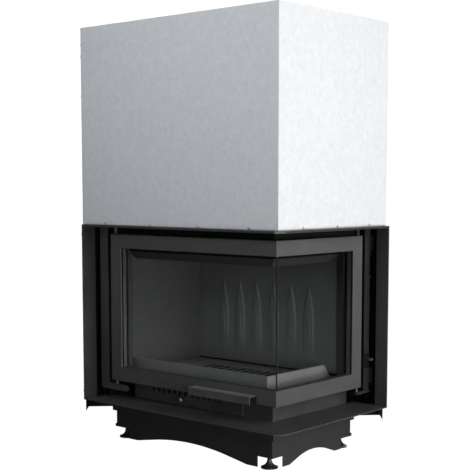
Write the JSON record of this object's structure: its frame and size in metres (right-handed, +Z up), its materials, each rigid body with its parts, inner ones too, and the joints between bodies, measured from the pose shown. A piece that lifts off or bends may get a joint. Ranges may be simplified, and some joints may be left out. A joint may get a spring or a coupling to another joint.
{
  "type": "fireplace insert",
  "caption": "Wood-burning fireplace insert with a lift-up corner glass door, ribbed cast firebox, galvanised casing with counterweights, slotted air control and a plinth on levelling feet.",
  "frame": {"origin": "on the floor under the middle of the overall box", "axes": "+Z up; -Y is the front with the long pane and the handle; +X is the side with the short pane"},
  "size_m": [0.785, 0.5274, 1.2519],
  "materials": {
    "galvanised": "zinc-coated sheet, faint spangle",
    "black_steel": "satin heat-proof black",
    "cast_iron": "fine cast grain",
    "bright_steel": "plain steel",
    "glass": "clear ceramic glass",
    "gasket": "woven heat-proof cord",
    "dark_lining": "pressed dark refractory",
    "refractory": "pressed board"
  },
  "bodies": {
    "base": {"plinth": "black_steel", "foot_brackets": "black_steel", "base_box": "black_steel", "shelf": "black_steel", "cheek_left": "black_steel", "cheek_right": "black_steel", "lintel": "black_steel", "corner_posts": "black_steel", "corner_braces": "black_steel", "apron": "black_steel", "air_plate": "black_steel", "firebox_walls": "black_steel", "firebox_roof": "black_steel", "hearth_plate": "cast_iron", "ash_pan": "bright_steel", "lining_left": "dark_lining", "lining_back": "dark_lining", "baffle": "refractory", "log_sill": "cast_iron", "surround_jambs": "black_steel", "surround_head": "black_steel", "smoke_dome": "black_steel", "flue_outlet": "black_steel", "guide_rail_left": "black_steel", "guide_rail_back": "black_steel", "pulley_brackets": "bright_steel", "cable_wraps": "bright_steel", "casing_front": "galvanised", "casing_right": "galvanised", "casing_left": "galvanised", "casing_back": "galvanised", "casing_lid": "galvanised", "casing_screws": "bright_steel"},
    "door": {"door_frame": "black_steel", "door_inner_frame": "black_steel", "glass_front": "glass", "glass_side": "glass", "corner_seal": "gasket", "glass_gasket": "gasket", "glass_clips": "bright_steel", "door_handle": "black_steel", "carriage_left": "black_steel", "carriage_right": "black_steel", "guide_shoes": "gasket", "latch_block": "black_steel", "door_cables": "bright_steel"},
    "latch": {"latch_knob": "bright_steel"},
    "air_control": {"air_slider": "black_steel", "air_knob": "bright_steel"},
    "grate": {"fire_grate": "cast_iron"},
    "left_weight": {"counterweight_left": "cast_iron", "weight_cable_left": "bright_steel"},
    "back_weight": {"counterweight_back": "cast_iron", "weight_cable_back": "bright_steel"},
    "left_pulley": {"pulley_left": "bright_steel"},
    "back_pulley": {"pulley_back": "bright_steel"},
    "foot_front_right": {"levelling_foot_front_right": "bright_steel"},
    "foot_front_left": {"levelling_foot_front_left": "bright_steel"},
    "foot_back_right": {"levelling_foot_back_right": "bright_steel"},
    "foot_back_left": {"levelling_foot_back_left": "bright_steel"}
  },
  "joints": [
    {"name": "door_lift", "type": "slide", "parent": "base", "child": "door", "axis": [0, 0, 1], "range_m": [0, 0.4], "deforming": ["door_cables"]},
    {"name": "left_weight_drop", "type": "slide", "parent": "base", "child": "left_weight", "axis": [0, 0, 1], "range_m": [-0.4, 0], "deforming": ["weight_cable_left"]},
    {"name": "back_weight_drop", "type": "slide", "parent": "base", "child": "back_weight", "axis": [0, 0, 1], "range_m": [-0.4, 0], "deforming": ["weight_cable_back"]},
    {"name": "left_pulley_turn", "type": "hinge", "parent": "base", "child": "left_pulley", "pos_m": [-0.342, -0.14475, 1.138], "axis": [-1, 0, 0], "range_deg": [0, 510]},
    {"name": "back_pulley_turn", "type": "hinge", "parent": "base", "child": "back_pulley", "pos_m": [0.2775, 0.22225, 1.138], "axis": [0, -1, 0], "range_deg": [0, 510]},
    {"name": "air_slide", "type": "slide", "parent": "base", "child": "air_control", "axis": [1, 0, 0], "range_m": [0, 0.0105]},
    {"name": "latch_turn", "type": "hinge", "parent": "door", "child": "latch", "pos_m": [0.3345, 0.21425, 0.27207], "axis": [1, 0, 0], "range_deg": [0, 90]},
    {"name": "grate_lift", "type": "slide", "parent": "base", "child": "grate", "axis": [0, 0, 1], "range_m": [0, 0.06]},
    {"name": "foot_front_right_turn", "type": "hinge", "parent": "base", "child": "foot_front_right", "pos_m": [0.2365, -0.11375, 0], "axis": [0, 0, 1], "continuous": true},
    {"name": "foot_front_left_turn", "type": "hinge", "parent": "base", "child": "foot_front_left", "pos_m": [-0.3295, -0.11375, 0], "axis": [0, 0, 1], "continuous": true},
    {"name": "foot_back_right_turn", "type": "hinge", "parent": "base", "child": "foot_back_right", "pos_m": [0.2365, 0.21175, 0], "axis": [0, 0, 1], "continuous": true},
    {"name": "foot_back_left_turn", "type": "hinge", "parent": "base", "child": "foot_back_left", "pos_m": [-0.3295, 0.21175, 0], "axis": [0, 0, 1], "continuous": true}
  ],
  "couplings": [
    {"joint": "left_weight_drop", "follows": "door_lift", "ratio": -1},
    {"joint": "back_weight_drop", "follows": "door_lift", "ratio": -1},
    {"joint": "left_pulley_turn", "follows": "door_lift", "rad_per_m": 22.222},
    {"joint": "back_pulley_turn", "follows": "door_lift", "rad_per_m": 22.222}
  ]
}
